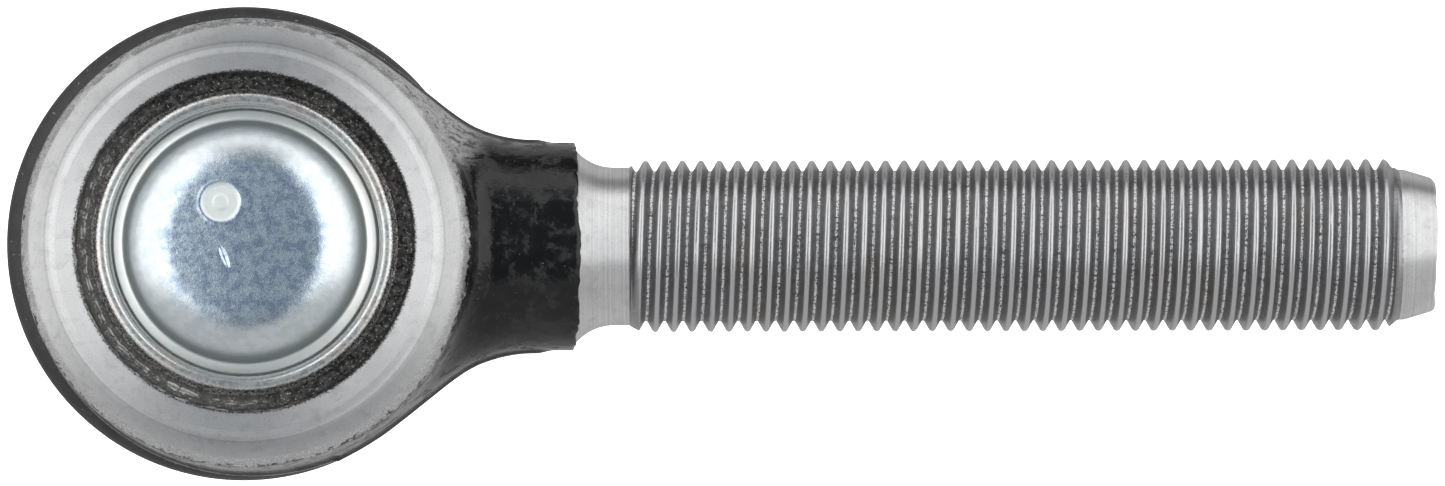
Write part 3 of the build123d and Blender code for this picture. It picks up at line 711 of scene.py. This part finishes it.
PAST_AXIS = -30.0  # the outlines close far past the axis, so their ends are nobody's nearest edge
BEVEL = arc(BEVEL_FOOT, (BEVEL_R, STEP_Z), -BEVEL_ARC_R)
HEAD_OUTLINE = np.array(
    [
        (PAST_AXIS, HEAD_BOTTOM),
        (LAND_R, HEAD_BOTTOM),
        (LAND_R, GROOVE_FOOT),
        (GROOVE_R, GROOVE_FOOT),
        (GROOVE_R, GROOVE_TOP),
    ]
    + arc((HEAD_UNDER_R, GROOVE_TOP), (HEAD_SIDE_R - 0.15, -4.2), -3.0, 8)
    + [(HEAD_SIDE_R, 0), (BEVEL_FOOT[0] + 0.1, BEVEL_FOOT[1] - 0.8)]
    + [(r, z - RING_SINK) for r, z in BEVEL]
    + [(PAST_AXIS, STEP_Z - RING_SINK)]
)
CAVITY = np.array(
    [
        (PAST_AXIS, HEAD_BOTTOM - 1),
        (MOUTH_FLARE_R, HEAD_BOTTOM - 1),
        (MOUTH_FLARE_R, HEAD_BOTTOM),
        (MOUTH_R, GROOVE_TOP),
    ]
    + arc((MOUTH_R, -6.5), (SEAT_BORE_R, 0), -SEAT_BORE_R, 8)
    + [
        (SEAT_BORE_R, CAP_SHOULDER_Z),
        (CAP_BORE_R, CAP_SHOULDER_Z),
        (CAP_BORE_R, 10.1),
        (STEP_R, 10.1),
        (STEP_R, FACE_Z + 1),
        (PAST_AXIS, FACE_Z + 1),
    ]
)
head_distance = outline_field(HEAD_OUTLINE, (-0.1, -14), (22, 15))
cavity_distance = outline_field(CAVITY, (-0.1, -14), (22, 15))


def forging_field(points):
    """Distance field of the forged head, web and neck, in millimetres."""
    x, y, z = points[..., 0], points[..., 1], points[..., 2]
    r = np.hypot(x, y)
    head = head_distance(r, z)
    half_width = smooth_max(WEB_START[1] + WEB_SLOPE * (x - WEB_START[0]), NECK_R, 2.7)
    half_height = WEB_HALF_HEIGHT + (NECK_R - WEB_HALF_HEIGHT) * smooth_step(x, 12, 22)
    middle = WEB_RISE * (1 - smooth_step(x, 9, 22))
    web = (np.hypot(y / half_width, (z - middle) / half_height) - 1) * half_height
    inside_head = WEB_START[0] - 0.25
    web = np.maximum(web, np.maximum(inside_head - x, x - NECK_INSIDE_X))
    body = smooth_min(head, web, WEB_FILLET * (1 - 0.75 * smooth_step(np.abs(y), 9, 15)))
    flash = FLASH * np.exp(-((z / 0.75) ** 4)) * (1 - smooth_step(x, 23.0, 24.5))
    return np.maximum(body - flash, -cavity_distance(r, z))


def surface_nets(field, low, step):
    """Points and quads of the zero surface of a field sampled on a grid."""
    shape = np.array(field.shape)
    corners, spots = [], []
    for axis in range(3):
        near = [slice(None)] * 3
        far = [slice(None)] * 3
        near[axis], far[axis] = slice(0, -1), slice(1, None)
        a, b = field[tuple(near)], field[tuple(far)]
        where = np.argwhere((a < 0) != (b < 0))
        first, last = a[tuple(where.T)], b[tuple(where.T)]
        spot = where.astype(float)
        spot[:, axis] += first / (first - last)
        u, v = (axis + 1) % 3, (axis + 2) % 3
        ring = []
        for du, dv in ((0, 0), (1, 0), (1, 1), (0, 1)):
            cell = where.copy()
            cell[:, u] -= du
            cell[:, v] -= dv
            ring.append(np.ravel_multi_index(cell.T, shape))
        ring = np.stack(ring, 1)
        flip = first > 0
        ring[flip] = ring[flip][:, ::-1]
        corners.append(ring)
        spots.append(spot)
    corners, spots = np.concatenate(corners), np.concatenate(spots)
    _, index = np.unique(corners.ravel(), return_inverse=True)
    index = index.ravel()
    share = np.bincount(index)
    around = np.repeat(spots, 4, axis=0)
    points = np.stack([np.bincount(index, around[:, k]) / share for k in range(3)], 1)
    return low + points * step, index.reshape(-1, 4)


def slope(function, points, reach=0.08):
    """Gradient of a field by central differences."""
    parts = []
    for k in range(3):
        offset = np.zeros(3)
        offset[k] = reach
        parts.append((function(points + offset) - function(points - offset)) / (2 * reach))
    return np.stack(parts, -1)


def make_forging():
    """Head, web and neck as one smooth forged skin."""
    step = 0.3
    reach = 19.6  # the sampled block's half width
    low = np.array((-reach, -reach, HEAD_BOTTOM - 0.9))
    high = np.array((NECK_INSIDE_X + 1, reach, FACE_Z + 0.9))
    xs, ys, zs = (np.arange(low[k], high[k], step) for k in range(3))
    layers = []
    for x in xs:
        layer = np.stack(np.meshgrid([x], ys, zs, indexing="ij"), -1)
        layers.append(forging_field(layer)[0])
    points, faces = surface_nets(np.stack(layers), low, step)
    for _ in range(3):
        steep = slope(forging_field, points)
        miss = forging_field(points) / np.clip((steep**2).sum(-1), 0.2, None)
        points = points - steep * np.clip(miss, -step / 2, step / 2)[:, None]
    normals = slope(forging_field, points)
    normals /= np.linalg.norm(normals, axis=1)[:, None]
    piece = build("forged_head", points, faces.tolist(), [BLACK_PAINT], normals=normals, weld=False)
    finish_piece(piece, "housing", "forging", "housing")


# ------------------------------------------------------------------ turned face of the head
def make_turned_ring():
    """Lip, valley, machined face, step and bevel, turned round the cap."""
    lip = rounded(
        [
            (11.9, 10.0, 0),
            (LIP_R, 10.55, 0.1),
            (LIP_R, FACE_Z + 0.02, 0.5),
            (11.75, FACE_Z + 0.05, 0.5),
            (CAP_BORE_R, 11.1, 0.5),
        ],
        steps=8,
    )
    valley = rounded(
        [(CAP_BORE_R, 11.1, 0), (12.8, 10.95, 0.5), (13.4, 11.3, 0.5), (VALLEY_R, FACE_Z, 0)], steps=5
    )
    face = rounded(
        [
            (VALLEY_R, FACE_Z, 0),
            (VALLEY_R + 0.08, FACE_Z, 0),
            (15.15, FACE_Z, 0.4),
            (FACE_R, STEP_Z, 0.4),
            (STEP_R, STEP_Z, 0),
        ]
    )
    step = [(STEP_R, STEP_Z), (STEP_R + 0.1, STEP_Z), (BEVEL_R, STEP_Z)]
    bevel = [point for point in reversed(BEVEL) if point[0] <= RING_R]
    bevel += [(RING_R, 10.9), (RING_R - 0.1, 10.4), (RING_R - 1, 10.2)]
    outline, slots = [], []
    for slot, points in enumerate((lip, valley, face, step, bevel)):
        outline.extend(points)
        slots.extend([slot] * len(points))

    def rough_valley(radius, along, angle):
        share = smooth_step(radius, 12.1, 12.5) * (1 - smooth_step(radius, 13.3, 13.75))
        turned = angle * 13
        torn = wander(turned + radius * 3, 0.35, 5) + wander(turned - radius, 1.2, 6)
        edge = smooth_step(radius, 13.3, 13.6) * (1 - smooth_step(radius, VALLEY_R, 13.8))
        return radius + edge * 0.05 * wander(turned, 0.5, 7), along + share * 0.05 * torn

    materials = [LIP_STEEL, VALLEY_STEEL, FACE_STEEL, STEP_STEEL, BEVEL_STEEL]
    piece = lathe(
        "turned_ring", np.array(outline), materials, segments=720, slots=slots, change=rough_valley
    )
    finish_piece(piece, "housing", "bare_steel", "housing")


# ------------------------------------------------------------------ neck and shank
def make_paint_skirt():
    """End of the paint on the neck, with a ragged edge over the turned fillet."""
    skin = [(NECK_R + 0.004, x) for x in np.linspace(22.9, PAINT_END_X, 9)]
    edge = [(8.42, PAINT_END_X + 0.02), (8.3, PAINT_END_X + 0.04), (7.9, PAINT_END_X)]
    outline = np.array([(NECK_R - 0.03, 22.5)] + skin + edge + [(7.9, 22.5)])

    def ragged(radius, along, angle):
        share = smooth_step(along, 24.0, PAINT_END_X)
        lean = 0.55 * np.sin(angle)
        torn = 0.13 * wander(angle * NECK_R, 1.6, 11) + 0.07 * wander(angle * NECK_R, 0.5, 12)
        return radius, along + share * (lean + torn)

    piece = lathe("neck_paint", outline, [BLACK_PAINT], axis="X", segments=360, change=ragged)
    finish_piece(piece, "housing", "forging", "housing")


def shank_bar(x):
    """Radius of the bar before its thread is rolled."""
    stations = (
        (THREAD_LOW_X, RELIEF_R),
        (THREAD_LOW_X + 0.08, RELIEF_R + 0.1),
        (THREAD_LOW_X + 0.95, CREST_R),
        (THREAD_FULL_X, CREST_R),
        (THREAD_FULL_X + 1, 6.16),
        (THREAD_HIGH_X, 6.12),
    )
    return np.interp(x, *zip(*stations))


def make_shank():
    """Turned fillet and relief, the left-hand thread and the plain end."""
    angle = full_turn(144)
    before = np.array(
        [(7.0, 24.0), (8.3, 24.2)]
        + arc((8.3, 25.9), (RELIEF_R, 29.35), 4.1, 14)
        + [(RELIEF_R, 30.0), (RELIEF_R, THREAD_LOW_X - 0.05), (RELIEF_R, THREAD_LOW_X)]
    )
    after = rounded(
        [
            (shank_bar(THREAD_HIGH_X), THREAD_HIGH_X, 0),
            (6.1, THREAD_HIGH_X + 0.5, 0.4),
            (5.42, SHANK_END, 0.35),
            (3.0, SHANK_END - 0.03, 0),
            (0.01, SHANK_END - 0.03, 0),
        ]
    )
    x, radius, seam = thread_grid(
        shank_bar, THREAD_LOW_X, THREAD_HIGH_X, angle, hand=-1, fades=(0.3, 0.9), wear=0.03, seed=21
    )
    # the end is sheared off, so it isn't quite flat
    after_r, after_x = spread(after, angle)
    sheared = 0.1 * wander(angle * 5.4, 2.6, 31) + 0.05 * wander(angle * 5.4, 0.8, 32)
    after_x = after_x + smooth_step(after_x, 94.9, 95.6) * sheared

    before_r, before_x = spread(before, angle)
    grids = [
        (before_x, before_r, 0, SHANK_STEEL),
        (x, radius, seam, THREAD_STEEL),
        (after_x, after_r, 0, SHANK_STEEL),
    ]
    materials = [SHANK_STEEL, THREAD_STEEL]
    points, faces, slots = [], [], []
    count = 0
    for along, across, shift, material in grids:
        points.append(place("X", along, across, angle).reshape(-1, 3))
        quads = grid_faces(len(along), len(angle), shift, count)
        faces += quads
        slots += [materials.index(material)] * len(quads)
        count += along.size
    piece = build("shank", np.concatenate(points), faces, materials, slots)
    finish_piece(piece, "housing", "bare_steel", "housing")


# ------------------------------------------------------------------ closing cap
def make_cap():
    """Pressed dome with its flange under the lip, and a plain inspection dimple."""
    shoulder_at, foot_at = (5.6, 14.45), (9.25, 12.3)
    crown = arc((0, CAP_HIGH.z), shoulder_at, 78.5, 70)
    shoulder = arc(shoulder_at, foot_at, 4.76, 16)
    sheet = rounded(
        [
            (*foot_at, 0),
            (9.75, 11.22, 0.3),
            (10.52, 10.94, 0.2),
            (10.7, 10.4, 0.1),
            (CAP_HIGH.x, 10.35, 0.1),
            (CAP_HIGH.x, CAP_LOW.z + 0.02, 0.1),
            (9.1, CAP_LOW.z, 0.4),
            (8.3, 11.3, 0.6),
            (5.0, 13.1, 1.5),
            (0, 13.3, 0),
        ]
    )
    outline = np.array(crown + shoulder[1:] + list(sheet[1:]))

    def marks(radius, along, angle):
        """A round dimple and a short chisel tick pressed into the crown."""
        x, y = radius * np.cos(angle), radius * np.sin(angle)
        top = along > 13.6
        ring = np.hypot(x - DIMPLE_AT[0], y - DIMPLE_AT[1])
        dimple = smooth_step(ring, DIMPLE_R, 1.3) * -0.1 + smooth_step(ring, 0.75, 0.45) * 0.07
        rim = np.exp(-(((ring - DIMPLE_R - 0.08) / 0.14) ** 2)) * 0.025
        tick_x, tick_y = x - TICK_AT[0], y - TICK_AT[1]
        cos, sin = math.cos(TICK_SLANT), math.sin(TICK_SLANT)
        lengthwise, across = tick_x * cos + tick_y * sin, tick_y * cos - tick_x * sin
        tick = smooth_step(np.hypot(lengthwise / 1.1, across / 0.26), 1.0, 0.3) * -0.11
        return radius, along + top * (dimple + rim + tick)

    piece = lathe("cap", outline, [ZINC], segments=320, closed=False, change=marks)
    finish_piece(piece, "housing", "zinc_plate", "closing_cap")


# ------------------------------------------------------------------ boot
def make_boot():
    """Rubber boot: bead, bulge and cuff, with the bulge hanging a little off centre."""
    outline = rounded(
        [
            (14.85, -11.1, 0.1),
            (14.85, -10.15, 0.1),
            (14.27, -10.15, 0.1),
            (14.27, BOOT_HIGH.z - 0.02, 0.2),
            (16.6, BOOT_HIGH.z - 0.02, 0.4),
            (16.6, -7.95, 0.15),
            (16.2, -8.1, 0.2),
            (16.2, -9.3, 0.2),
            (16.75, -9.5, 0.3),
            (17.0, -10.6, 1.2),
            (19.75, -13.2, 2.2),
            (19.5, -16.3, 2.2),
            (15.5, -19.1, 2.5),
            (12.4, -19.35, 0.5),
            (11.35, -19.5, 0.25),
            (10.95, -19.75, 0.15),
            (10.95, -20.85, 0.15),
            (11.35, -21.1, 0.2),
            (11.3, BOOT_LOW.z + 0.03, 0.3),
            (9.68, BOOT_LOW.z + 0.03, 0.1),
            (9.68, -17.95, 0.2),
            (10.7, -17.8, 0.5),
            (15.0, -17.5, 1.5),
            (18.3, -15.6, 1.5),
            (18.3, -13.8, 1.5),
        ],
        closed=True,
        steps=5,
    )
    angle = full_turn(256)
    radius, along = spread(outline, angle)
    points = place("Z", along, radius, angle)
    hang = smooth_step(-along, 10.2, 13.5) * (1 - smooth_step(-along, 16.5, 19.5))
    points[..., 0] += BOOT_LEAN[0] * hang
    points[..., 1] += BOOT_LEAN[1] * hang
    faces = grid_faces(len(outline), len(angle), closed_rows=True)
    piece = build("boot", points.reshape(-1, 3), faces, [RUBBER])
    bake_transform(piece)
    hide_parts("dust_boot")


make_forging()
make_turned_ring()
make_paint_skirt()
make_shank()
make_cap()
make_boot()

# ------------------------------------------------------------------ carried-over CAD nodes
SPRING_WIRE = plated("spring_wire", (0.32, 0.33, 0.36))
SEAT_PLASTIC = moulded("seat_plastic", (0.84, 0.83, 0.78), 0.4)
CAD_FINISHES = {
    "cap_seal": moulded("seal_rubber", (0.03, 0.03, 0.03), 0.6),
    "preload_spring": SPRING_WIRE,
    "pressure_plate": plated("plate_steel", (0.5, 0.5, 0.52), 0.3),
    "upper_seat": SEAT_PLASTIC,
    "lower_seat": SEAT_PLASTIC,
    "ball_stud": plated("stud_steel", (0.55, 0.55, 0.57), 0.2),
    "castle_nut": plated("nut_zinc", (0.6, 0.66, 0.7), 0.22),
    "cotter_pin": plated("pin_zinc", (0.6, 0.62, 0.64), 0.3),
    "boot_collar": moulded("collar_plastic", (0.05, 0.05, 0.055), 0.4),
    "upper_boot_clip": SPRING_WIRE,
    "lower_boot_clip": SPRING_WIRE,
}
for node, finish in CAD_FINISHES.items():
    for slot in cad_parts[node].material_slots:
        slot.material = finish

# ------------------------------------------------------------------ stage and light, metres
FLOOR_Z = -0.16


def flat_card(name, width, depth, location, aim, material):
    """Flat rectangle that faces a point."""
    mesh = bpy.data.meshes.new(name)
    w, d = width / 2, depth / 2
    mesh.from_pydata([(-w, -d, 0), (w, -d, 0), (w, d, 0), (-w, d, 0)], [], [(0, 1, 2, 3)])
    mesh.materials.append(material)
    card = bpy.data.objects.new(name, mesh)
    bpy.context.scene.collection.objects.link(card)
    card.location = location
    card.rotation_mode = "QUATERNION"
    card.rotation_quaternion = (Vector(aim) - Vector(location)).to_track_quat("Z", "Y")
    return card


def glowing(name, colour):
    """Matt material that also gives off its own colour."""
    material = bpy.data.materials.new(name)
    material.use_nodes = True
    shader = material.node_tree.nodes["Principled BSDF"]
    shader.inputs["Base Color"].default_value = (*colour, 1)
    shader.inputs["Roughness"].default_value = 0.9
    shader.inputs["Specular IOR Level"].default_value = 0.0
    shader.inputs["Emission Color"].default_value = (*colour, 1)
    shader.inputs["Emission Strength"].default_value = 1.0
    return material


def seen_from_above_only(material):
    """Makes the back of a card clear, so that it doesn't hide the object from below."""
    tree = material.node_tree
    side = tree.nodes.new("ShaderNodeNewGeometry")
    clear = tree.nodes.new("ShaderNodeBsdfTransparent")
    choice = tree.nodes.new("ShaderNodeMixShader")
    tree.links.new(side.outputs["Backfacing"], choice.inputs[0])
    tree.links.new(tree.nodes["Principled BSDF"].outputs[0], choice.inputs[1])
    tree.links.new(clear.outputs[0], choice.inputs[2])
    tree.links.new(choice.outputs[0], tree.nodes["Material Output"].inputs["Surface"])


def reflected_card(name, width, depth, location, aim, colour):
    """Card that is seen only as a reflection in the metal and the paint."""
    card = flat_card(name, width, depth, location, aim, glowing(name + "_tone", colour))
    card.visible_camera = False
    card.visible_shadow = False
    card.visible_diffuse = False


# overexposed paper: white to the camera, but no brighter than the room to the metal
PAPER = glowing("floor_white", (1.0, 1.0, 1.0))
seen_from_above_only(PAPER)
floor = flat_card("floor", 40.0, 40.0, (0, 0, FLOOR_Z), (0, 0, 1), PAPER)
floor.visible_glossy = False
floor.visible_diffuse = False

# dark gap between the two soft boxes, where the camera looks through
GAP_TONE = (0.108, 0.122, 0.136)
reflected_card("camera_gap", 0.43, 1.24, (0.03, 0.13, 0.62), (0.03, 0.13, 0), GAP_TONE)
# dark edge of the table on the far side
EDGE_TONE = (0.06, 0.06, 0.06)
reflected_card("table_edge", 3.0, 0.2, (0.04, 0.5, -0.14), (0.04, 0, -0.14), EDGE_TONE)


def soft_box(name, radiance, width, depth, location, tilt):
    """Area light of a given brightness; tilt is its turn about X and about Y, in degrees."""
    data = bpy.data.lights.new(name, "AREA")
    data.shape = "RECTANGLE"
    data.size, data.size_y = width, depth
    data.energy = radiance * math.pi * width * depth
    box = bpy.data.objects.new(name, data)
    bpy.context.scene.collection.objects.link(box)
    box.location = location
    box.rotation_euler = (math.radians(tilt[0]), math.radians(tilt[1]), 0)
    box.visible_camera = False


soft_box("left_box", 0.98, 1.0, 1.3, (-0.56, 0.36, 0.435), (0, -54))
soft_box("right_box", 1.06, 1.0, 1.3, (0.64, 0.36, 0.435), (0, 54))
soft_box("back_box", 0.9, 1.5, 0.3, (0.04, 0.9, 0.23), (-76, 0))

ROOM_GREY = 0.56
world = bpy.data.worlds.new("studio")
bpy.context.scene.world = world
world.use_nodes = True
room = world.node_tree.nodes["Background"]
room.inputs["Color"].default_value = (ROOM_GREY, ROOM_GREY, ROOM_GREY, 1)
room.inputs["Strength"].default_value = 1.0

bpy.context.scene.view_settings.view_transform = "Standard"

# ------------------------------------------------------------------ camera
# It looks almost straight down on the cap, from a little to the -Y side.
CAMERA_DISTANCE = 0.66
CAMERA_LEAN = math.radians(2.2)
CAMERA_ROLL = math.radians(-0.13)
AIM = Vector((38.1 * MM, 0.26 * MM, 0))
camera_data = bpy.data.cameras.new("camera")
camera_data.sensor_width = 36
camera_data.lens = 202.4
camera = bpy.data.objects.new("camera", camera_data)
bpy.context.scene.collection.objects.link(camera)
camera.location = AIM + CAMERA_DISTANCE * Vector((0, -math.sin(CAMERA_LEAN), math.cos(CAMERA_LEAN)))
camera.rotation_euler = (CAMERA_LEAN, 0, CAMERA_ROLL)
bpy.context.scene.camera = camera
